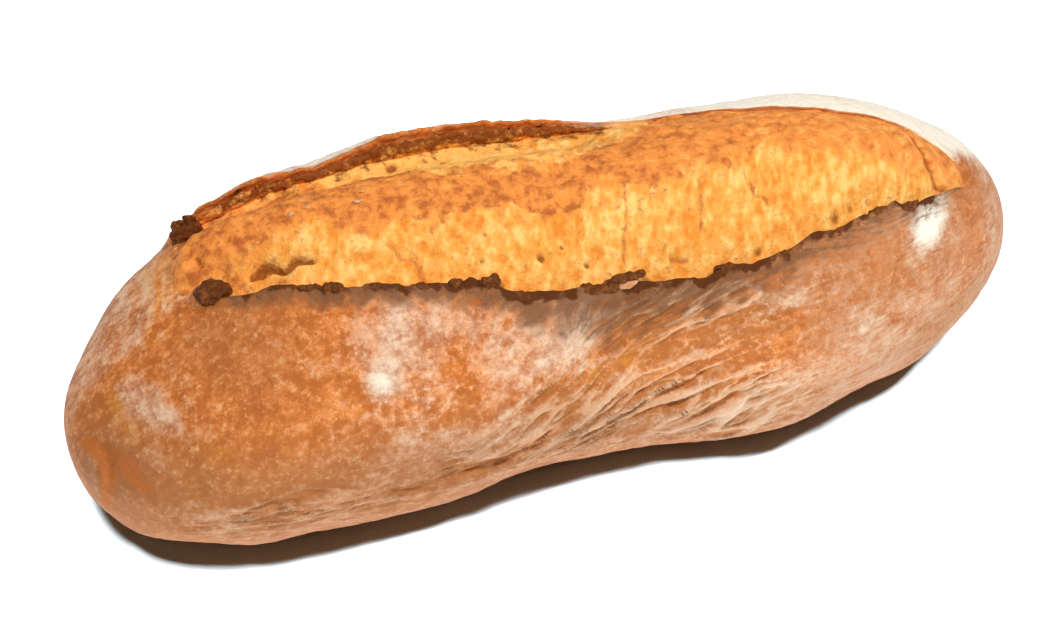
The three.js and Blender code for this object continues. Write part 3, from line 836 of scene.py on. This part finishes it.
def shapeCrumb():
    piece, form = crumbPiece, loafForm
    countX, countY = piece["stepsAlong"], piece["stepsAcross"]
    bpy.ops.mesh.primitive_grid_add(x_subdivisions=countX, y_subdivisions=countY, size=2)
    crumb = bpy.context.object
    crumb.name = "loaf_crumb"
    places = pointsOf(crumb)
    counts = (countX, countY)
    at = tuple(np.rint((places[:, k] + 1) / 2 * counts[k]).astype(int) for k in (0, 1))

    # share is the way across the tear, and wallShare the way up the ear's inner wall
    x = np.linspace(*piece["span"], countX + 1)[:, None]
    body = loafBody(x)
    gap, ear = body["gap"], body["ear"]
    thick = mix(crustPiece["edgeThick"], crustPiece["earThick"], ear)
    step = np.linspace(0, 1, countY + 1)[None, :]
    flat = np.clip(step / piece["wallFrom"], 0, 1)
    wallShare = np.clip((step - piece["wallFrom"]) / (1 - piece["wallFrom"]), 0, 1)
    share = mix(piece["startsAt"] * crustPiece["lipThick"] / gap, 1 - piece["footAt"] * thick, flat)
    share = share - piece["undercut"] * thick * np.sin(math.pi * np.minimum(wallShare * 1.15, 1))
    share = share + piece["wallLean"] * thick * wallShare
    wallRise = wallShare * (piece["wallHeight"] * earTop(body) + 1)

    # strands and lumps where the crumb is smooth, grains on the brown crest
    across = share * gap
    strand = x - piece["strandLean"] * across
    bend = wobble((strand, across, 0), piece["bend"])
    bent = strand + bend
    place = (x + 0 * share, across, 0)
    lobes = noise((bent, across * 0.4, 0), 12, 2) + 0.6 * noise((bent, across * 0.55, 5), 5.5, 3)
    seams = np.abs(noise((bent, across * 0.4, 0), 9, 4))
    creases = (1 - smooth(0, 0.14, seams)) * smooth(-0.1, 0.4, noise(place, 12, 32))
    fine = noise((strand + 0.5 * bend, across * 0.45, 0), 2.1, 5)
    strands = 0.55 * fine + 0.45 * noise((strand, across * 0.5, 3), 3.8, 6)
    clumps = wobble(place, *piece["clumps"])
    ragged = wobble(place, *piece["crestRagged"])
    pastCrest = share - through(piece["crestTo"], x) - ragged
    crest = smooth(-0.1, 0.07, share - through(piece["crestFrom"], x) - ragged)
    crest = crest * (1 - smooth(-0.08, 0.06, pastCrest))
    granules = rough(place, 3.6, 3, 12)

    smoothPart = (1 - crest) * smooth(0, 0.1, share) * (1 - smooth(0.9, 1, share)) * smooth(5, 30, gap)
    lift = tornHeight(body, share) * smooth(0, form["fullTear"], gap)
    lift = lift + smoothPart * (lobes - 0.5 * creases + 0.25 * strands + 0.25 * clumps)
    lift = lift + crest * (0.55 * granules + 0.95 * rough(place, 9, 2, 14))
    sunk, holeShade, crack = crumbHoles(body, place, share)
    y = body["frontLip"] + gap * share
    y = y - smooth(0, 0.15, wallShare) * ear * wobble((x, wallRise, 0), *piece["wallRagged"])
    z = crownAt(body, y) + openAt(body, share) * (lift - sunk + wallRise * ear)
    # it sinks into the crust where the tear starts and ends
    late = x - startOfTear(x, share) + wobble(place, piece["startRagged"])
    z = z - 5 * (1 - smooth(-8, 2, late)) + 0.5 * bump(late - 5, 6)
    z = z - 2.2 * smooth(-8, 0, x - piece["span"][1]) - 1.2 * smooth(*form["tearCloses"], body["s"])

    # masks that the finish reads
    # painted light: the tops of the lobes, strands and clumps are made lighter as painted highlight, and the
    # creases darker as painted shade
    paintedLightAndShade = 0.5 + 0.2 * lobes - 0.22 * creases + 0.2 * strands + 0.2 * clumps
    valley = smooth(-0.03, 0.09, pastCrest) * ear * smooth(-86, -62, x) * (1 - smooth(-8, 18, x))
    wallRagged = 0.3 * noise((x, across, 0), (3.5, 3, 1), 22) + 0.25 * noise((x, 0, 0), 9, 23)
    nearWall = smooth(0.84, 0.95, share) * smooth(-100, -70, x)
    wallBurn = smooth(-0.42, 0.52, wallShare - 0.3 * (1 - nearWall) + wallRagged)
    wallBurn = wallBurn * mix(0.55, 1, smooth(-100, -60, x)) * smooth(0, 0.5, ear)
    bake = smooth(-62, -104, x + 14 * noise(place, 12, 24)) + smooth(118, 134, x + 6 * noise(place, 8, 25))
    masks = {
        # light carries that painted highlight and painted shade, with some tone that differs at random
        "light": paintedLightAndShade + 0.15 * noise(place, 16, 18), "crest": crest, "valley": valley, "burn": wallBurn,
        # groove: painted shade on the crumb right beside the front lip
        "groove": 1 - smooth(0, 0.14, share + 0.04 * noise(place, 6, 19)), "holeShade": holeShade, "crack": crack,
        "granules": granules * 0.4 + 0.5 - 0.3 * smooth(10, 110, x),    # paler to the right
        "bake": np.clip(bake, 0, 1),
    }
    moved = np.stack(np.broadcast_arrays(x, y + sideShift(), z), -1)[at]
    setPoints(crumb, moved, {name: np.broadcast_to(values, z.shape)[at] for name, values in masks.items()})
    setFlow(crumb, "fibre", np.stack(np.broadcast_arrays(bent, across, z), -1)[at])

    # walls and a bottom make the crumb a closed slab, sunk in the crust
    bottom = piece["slabBottom"] * metre
    bpy.ops.object.mode_set(mode="EDIT")
    bpy.ops.mesh.select_all(action="SELECT")
    bpy.ops.mesh.region_to_loop()
    bpy.ops.mesh.extrude_region_move(TRANSFORM_OT_translate={"value": (0, 0, -0.01)})
    bpy.ops.transform.resize(value=(1, 1, 0), center_override=(0, 0, bottom))
    bpy.ops.mesh.edge_face_add()
    bpy.ops.object.mode_set(mode="OBJECT")
    tidySurface(crumb)
    return crumb


# bits of crust that stand on the lips of the tear
flakePieces = {
    "loaf_flakes": {
        # on the front lip: x, rise above it, length, width, thickness, turn, pitch and roll in degrees
        "onLip": [
            (-80, -0.5, 9, 3, 3.2, -20, 4, 0), (-73.5, -0.2, 8, 3, 3.8, -20, -6, 0),
            (-61.5, -0.5, 6, 2.8, 3.2, -20, 0, 0), (-47, -0.6, 6, 2.4, 2.6, -20, 0, 0),
            (-37, -0.1, 5.5, 3, 4, -20, 12, 0), (-26.5, 0.4, 6.5, 3.4, 5.6, -20, -8, 0),
            (-18, -0.4, 5.5, 3, 3, -20, -10, 0), (3, -0.2, 8, 3.6, 4.2, -18, 10, 10),
            (8, 1.0, 8, 3.2, 3.2, -18, 17, 15), (14, 3.6, 13, 2.8, 2.2, -18, 17, 15),
            (45, -0.2, 7.5, 2.6, 3, -10, 5, 0), (65, -0.5, 6, 2.2, 2.8, 0, 0, 0),
            (83.5, -0.6, 9, 2.4, 2.8, 5, -4, 0), (100, -0.4, 6.5, 2.2, 3, 8, 0, 0),
            (111.5, -0.2, 9, 2.8, 3.6, 12, 4, 0),
        ],
        # on the torn crumb, with the share of the way across after x
        "onTear": [
            (-106.5, 0.1, 3.0, 12, 9, 8, -12, 0, -20), (-106, 0.86, 4.4, 7, 3, 15, -21, 6, -6),
            (-102.5, 0.86, 4.8, 6, 3, 13, -21, 12, -6),
        ],
        "roughness": 1,
        "colours": {"dark": (0.10, 0.026, 0.004), "bright": (0.27, 0.078, 0.014)},
    },
    "loaf_crumbs": {
        "onLip": [(14.2, 1.0, 8, 4.6, 3, -18, 17, 0)],
        "onTear": [
            (-76.5, 0.5, 0.2, 2.6, 1.8, 1.4, 0, 0, 0), (-71, 0.53, 0.2, 2.2, 1.8, 1.2, 0, 0, 0),
            (-55.5, 0.5, 0.2, 3.2, 1.8, 1.2, 0, 0, 0), (-53, 0.56, 0.2, 2.2, 1.4, 1, 0, 0, 0),
        ],
        "roughness": 0.4,
        "colours": {"dark": (0.56, 0.22, 0.085), "bright": (0.84, 0.51, 0.29)},
    },
}
flakeSurface = {
    "subdivisions": 5,     # one less for bits shorter than this
    "shortBelow": 7,
    "grains": [(4.0, 2.2), (2.0, 1.0), (0.9, 0.3)],    # size and height
}


def shapeFlakes(name, flake):
    bits = []
    rows = [(onLip(row[0]), row[1:]) for row in flake["onLip"]]
    rows += [(onTear(*row[:2]), row[2:]) for row in flake["onTear"]]
    for place, (rise, length, width, thickness, turn, pitch, roll) in rows:
        place = Vector(place) + Vector((0, 0, rise))
        angles = [math.radians(angle) for angle in (roll, -pitch, turn)]
        size = tuple(part / 2 * metre for part in (length, width, thickness))
        bpy.ops.mesh.primitive_ico_sphere_add(
            subdivisions=flakeSurface["subdivisions"] - (length < flakeSurface["shortBelow"]), radius=1,
            location=place * metre, rotation=angles, scale=size)
        bits.append(bpy.context.object)
    bpy.ops.object.select_all(action="DESELECT")
    for bit in bits:
        bit.select_set(True)
    bpy.ops.object.transform_apply(location=True, rotation=True, scale=True)
    bpy.ops.object.join()
    flakes = bpy.context.object
    bpy.ops.object.transform_apply(location=True, rotation=True, scale=True)
    flakes.name = name
    for size, height in flakeSurface["grains"]:
        clouds = bpy.data.textures.new("rough_bits", "CLOUDS")
        clouds.noise_scale = size * metre
        clouds.noise_depth = 1
        lumps = flakes.modifiers.new("lumps", "DISPLACE")
        lumps.texture = clouds
        lumps.texture_coords = "LOCAL"
        lumps.strength = height * flake["roughness"] * metre
        lumps.mid_level = 0.5
        bpy.ops.object.modifier_apply(modifier=lumps.name)
    tidySurface(flakes)
    return flakes


# A finish has its colours, the first of them lying under the layers, and patterns of noise: size, detail and
# roughness. Drawn patterns follow an attribute of the surface instead of the object. A layer has its colour,
# the mask or pattern it follows, the patterns that fray it, the range over which it comes in, and how much it
# covers at most. A last range keeps a layer off where its mask is fainter.
crustFinish = {
    "colours": {
        "deep": (0.44, 0.115, 0.020), "warm": (0.73, 0.23, 0.048), "peach": (0.52, 0.21, 0.085),
        "pale": (0.84, 0.45, 0.21), "flour": (0.77, 0.63, 0.47), "white": (0.98, 0.88, 0.72),
        "ochre": (0.62, 0.24, 0.03), "burn": (0.10, 0.026, 0.004), "smoke": (0.19, 0.076, 0.03),
        "golden": (0.84, 0.33, 0.07), "shade": (0.31, 0.116, 0.04), "ridge": (0.74, 0.43, 0.25),
        "furrow": (0.42, 0.15, 0.04),
    },
    "mixed": {},
    "patterns": {
        "mottle": (9, 5, 0.64), "patch": (3.4, 4, 0.64), "speck": (1.5, 3, 0.66), "fine": (0.7, 2, 0.7),
        "streak": (1.5, 4, 0.66),
    },
    "drawn": {"streak": ("stretch", (0.22, 1, 1))},
    "layers": [
        ("warm", "mottle", {"patch": 1.0, "speck": 0.4, "fine": 0.15}, (0.3, 0.76), 1),
        ("shade", "shade", {}, (0, 1), 0.6),
        ("furrow", "furrow", {"streak": 1.2}, (0.3, 1.0), 0.7),
        ("pale", "speck", {"fine": 0.35, "patch": 0.9}, (0.52, 0.88), 0.55),
        ("peach", "peach", {"mottle": 2.2, "streak": 1.6, "speck": 1.0}, (0.1, 1.3), 0.85),
        ("ochre", "ochre", {"patch": 1.4}, (0.25, 1.1), 0.7),
        ("golden", "golden", {"patch": 2.0, "speck": 1.6}, (0.2, 1.3), 0.6),
        ("ridge", "ridge", {"speck": 0.9, "streak": 0.8}, (0.2, 1.0), 0.8),
        ("flour", "flour", {"streak": 1.0, "speck": 0.5, "mottle": 0.8, "patch": 0.9, "fine": 0.25},
         (0.02, 1.3), 1),
        ("white", "dusted", {"streak": 0.7, "speck": 0.5}, (0.1, 0.9), 0.95),
        ("shade", "shade", {"mottle": 0.8, "patch": 0.8}, (0.15, 1.3), 0.55),
        ("smoke", "smoke", {"streak": 2.2, "speck": 0.8, "patch": 0.6}, (0, 0.95), 0.9, (0.02, 0.4)),
        ("burn", "burn", {"speck": 0.9, "patch": 0.5}, (0.2, 0.7), 1),
        # painted shade: the deep colour laid into hollows and creases
        ("deep", "hollow", {}, (0.1, 0.9), 0.6),
    ],
    "roughness": 0.62,
    "duller": {"flour": 0.9},      # the roughness that this layer brings
    "specular": 0.12,
    "bumps": {"speck": 0.6, "patch": 0.9, "streak": 0.8, "fine": 0.2},
    "bumpStrength": 0.9,
    "bumpHeight": 1.0,
}
paintedLightFray = {"mottle": 0.8, "patch": 1.5, "pull": 2.4, "speck": 0.6, "fine": 0.4}
crestFray = {"mottle": 1.2, "patch": 2.0, "speck": 0.9, "fine": 0.3}
crumbFinish = {
    "colours": {
        # light is the colour of the painted highlight on the crumb
        "deep": (0.76, 0.24, 0.028), "gold": (0.87, 0.37, 0.068), "light": (1.0, 0.57, 0.17),
        "valley": (1.0, 0.55, 0.14), "crest": (0.82, 0.27, 0.052), "crestDark": (0.46, 0.115, 0.024),
        # holeShade is the colour of the painted shade inside pits and cracks
        "crestPale": (0.95, 0.42, 0.11), "burn": (0.20, 0.045, 0.006), "holeShade": (0.30, 0.08, 0.01),
    },
    # a colour with layers of its own, and what lies under them
    "mixed": {"baked": ("crestPale", [
        ("crest", "granules", crestFray, (-0.4, 0.25), 1),
        ("crestDark", "granules", crestFray, (0.2, 1.1), 1),
    ])},
    "patterns": {
        "mottle": (6, 3, 0.55), "patch": (3.2, 3, 0.55), "speck": (1.3, 3, 0.68), "fine": (0.7, 2, 0.7),
        "pull": (2.8, 3, 0.55),
    },
    "drawn": {"pull": ("fibre", (1, 0.5, 0.5))},
    "layers": [
        # gold and light follow the painted highlight on the lobes and the painted shade in the creases
        ("gold", "light", paintedLightFray, (-0.15, 0.5), 1),
        ("light", "light", paintedLightFray, (0.4, 1.0), 0.95),
        # painted shade: the deep colour laid on the crumb beside the front lip
        ("deep", "groove", {"patch": 1.0}, (0.2, 1.0), 0.7),
        ("valley", "valley", {"patch": 1.0, "speck": 0.6}, (0.1, 0.9), 0.75),
        ("baked", "crest", {"mottle": 0.9, "patch": 1.6, "speck": 0.7}, (0.15, 0.85), 0.97),
        ("baked", "bake", {"mottle": 1.2, "patch": 1.4, "speck": 1.8}, (0.1, 1.3), 0.9),
        ("burn", "burn", {"patch": 2.2, "speck": 1.2}, (0.05, 1.0), 0.95, (0.1, 0.45)),
        # painted shade: the cracks darkened with the dark crest colour
        ("crestDark", "crack", {"patch": 1.6, "speck": 1.0}, (0.3, 1.3), 0.85),
        # painted shade: the insides of the pits and deep cracks darkened
        ("holeShade", "holeShade", {"speck": 1.0}, (0.15, 0.85), 0.92, (0.02, 0.3)),
    ],
    "roughness": 0.75,
    "duller": {},
    "specular": 0.12,
    "bumps": {"speck": 0.6, "patch": 1.0, "pull": 1.0, "fine": 0.2},
    "bumpStrength": 0.75,
    "bumpHeight": 1.0,
}
flakeFinish = {
    "mixed": {},
    "patterns": {"patch": (2.6, 4, 0.65), "speck": (1.0, 3, 0.65)},
    "drawn": {},
    "layers": [("bright", "patch", {"speck": 0.8}, (0.35, 0.85), 1)],
    "roughness": 0.75,
    "duller": {},
    "specular": 0.15,
    "bumps": {"speck": 1.0},
    "bumpStrength": 0.8,
    "bumpHeight": 0.6,
}


def addNode(tree, kind, inputs=None, **settings):
    node = tree.nodes.new(kind)
    for name, value in settings.items():
        setattr(node, name, value)
    for key, value in (inputs or {}).items():
        socket = node.inputs[key]
        if isinstance(value, bpy.types.NodeSocket):
            tree.links.new(value, socket)
        else:
            socket.default_value = value
    return node


def blend(tree, share, first, second):
    # colours may be sockets or plain numbers
    fill = [c if isinstance(c, bpy.types.NodeSocket) else (*c, 1) for c in (first, second)]
    node = addNode(tree, "ShaderNodeMix", {0: share, 6: fill[0], 7: fill[1]}, data_type="RGBA")
    return node.outputs[2]


def sums(tree, operation, a, b):
    return addNode(tree, "ShaderNodeMath", {0: a, 1: b}, operation=operation).outputs[0]


def ramp(tree, value, low, high, start=0.0, end=1.0):
    ends = {"Value": value, "From Min": low, "From Max": high, "To Min": start, "To Max": end}
    return addNode(tree, "ShaderNodeMapRange", ends, interpolation_type="SMOOTHSTEP").outputs[0]


def mask(tree, name):
    return addNode(tree, "ShaderNodeAttribute", attribute_name=name).outputs["Fac"]


def makePatterns(tree, finish):
    coords = addNode(tree, "ShaderNodeTexCoord").outputs["Object"]
    patterns = {}
    for name, (size, detail, roughness) in finish["patterns"].items():
        inputs = {"Vector": coords, "Scale": 1 / (size * metre), "Detail": detail, "Roughness": roughness}
        if name in finish["drawn"]:
            attribute, scale = finish["drawn"][name]
            flow = addNode(tree, "ShaderNodeAttribute", attribute_name=attribute).outputs["Vector"]
            inputs["Vector"] = addNode(tree, "ShaderNodeMapping", {"Vector": flow, "Scale": scale}).outputs[0]
        patterns[name] = addNode(tree, "ShaderNodeTexNoise", inputs).outputs["Fac"]
    return patterns


def layColours(tree, patterns, colours, colour, layers):
    # the colour of all layers together, and how much each covers
    covers = {}
    for name, source, fray, span, most, *faintest in layers:
        value = start = patterns[source] if source in patterns else mask(tree, source)
        for pattern, amount in fray.items():
            swing = sums(tree, "MULTIPLY", sums(tree, "SUBTRACT", patterns[pattern], 0.5), amount)
            value = sums(tree, "ADD", value, swing)
        for low, high in faintest:
            value = sums(tree, "MULTIPLY", value, ramp(tree, start, low, high))
        covers[name] = ramp(tree, value, *span, 0, most)
        colour = blend(tree, covers[name], colour, colours[name])
    return colour, covers


def makeFinish(name, finish, colours):
    material = bpy.data.materials.new(name)
    material.use_nodes = True
    tree = material.node_tree
    shader = tree.nodes["Principled BSDF"]
    patterns = makePatterns(tree, finish)
    base, colours = next(iter(colours.values())), dict(colours)
    for mixed, (under, layers) in finish["mixed"].items():
        colours[mixed] = layColours(tree, patterns, colours, colours[under], layers)[0]
    colour, covers = layColours(tree, patterns, colours, base, finish["layers"])
    tree.links.new(colour, shader.inputs["Base Color"])
    shader.inputs["Roughness"].default_value = finish["roughness"]
    for layer, roughness in finish["duller"].items():
        dull = ramp(tree, covers[layer], 0, 1, finish["roughness"], roughness)
        tree.links.new(dull, shader.inputs["Roughness"])
    shader.inputs["Specular IOR Level"].default_value = finish["specular"]
    height = 0
    for pattern, amount in finish["bumps"].items():
        height = sums(tree, "ADD", height, sums(tree, "MULTIPLY", patterns[pattern], amount))
    bumps = addNode(tree, "ShaderNodeBump", {
        "Height": height, "Strength": finish["bumpStrength"], "Distance": finish["bumpHeight"] * metre})
    tree.links.new(bumps.outputs[0], shader.inputs["Normal"])
    return material


def makeFloor():
    bpy.ops.mesh.primitive_plane_add(size=studio["floorSize"] * metre)
    floor = bpy.context.object
    floorOnly = bpy.data.collections.new("floor_only")
    floorOnly.objects.link(floor)
    for name, place in studio["lampPlaces"].items():
        lamp = softLight(name + "_floor", place, studio["floorPower"])
        lamp.light_linking.receiver_collection = floorOnly
    floor.name = "floor"
    material = bpy.data.materials.new("white_board")
    material.use_nodes = True
    shader = material.node_tree.nodes["Principled BSDF"]
    shader.inputs["Base Color"].default_value = (*studio["floorColour"], 1)
    shader.inputs["Roughness"].default_value = studio["floorRoughness"]
    shader.inputs["Specular IOR Level"].default_value = studio["floorSpecular"]
    floor.data.materials.append(material)


bpy.ops.object.select_all(action="DESELECT")
bpy.context.scene.view_settings.view_transform = "Standard"
makeCamera()
for name, place in studio["lampPlaces"].items():
    softLight(name, place, studio["lampPower"])
world = bpy.data.worlds.new("sky")
world.use_nodes = True
world.node_tree.nodes["Background"].inputs["Color"].default_value = (*studio["skyColour"], 1)
world.node_tree.nodes["Background"].inputs["Strength"].default_value = studio["skyStrength"]
bpy.context.scene.world = world
makeFloor()
backLamp = softLight("back", studio["backLamp"], studio["backPower"])
backLamp.light_linking.receiver_collection = bpy.data.collections.new("loaf_only")
print("studio ready")

crust = shapeCrust()
crust.data.materials.append(makeFinish("baked_crust", crustFinish, crustFinish["colours"]))
print("crust shaped:", len(crust.data.polygons), "faces")
crumb = shapeCrumb()
crumb.data.materials.append(makeFinish("torn_crumb", crumbFinish, crumbFinish["colours"]))
print("crumb shaped:", len(crumb.data.polygons), "faces")

pieces = [crust, crumb]
for name, flake in flakePieces.items():
    flakes = shapeFlakes(name, flake)
    flakes.data.materials.append(makeFinish(name + "_finish", flakeFinish, flake["colours"]))
    pieces.append(flakes)
    print(name, "shaped:", len(flakes.data.polygons), "faces")

for piece in pieces:
    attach(piece, "root")
    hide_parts("loaf")
    backLamp.light_linking.receiver_collection.objects.link(piece)
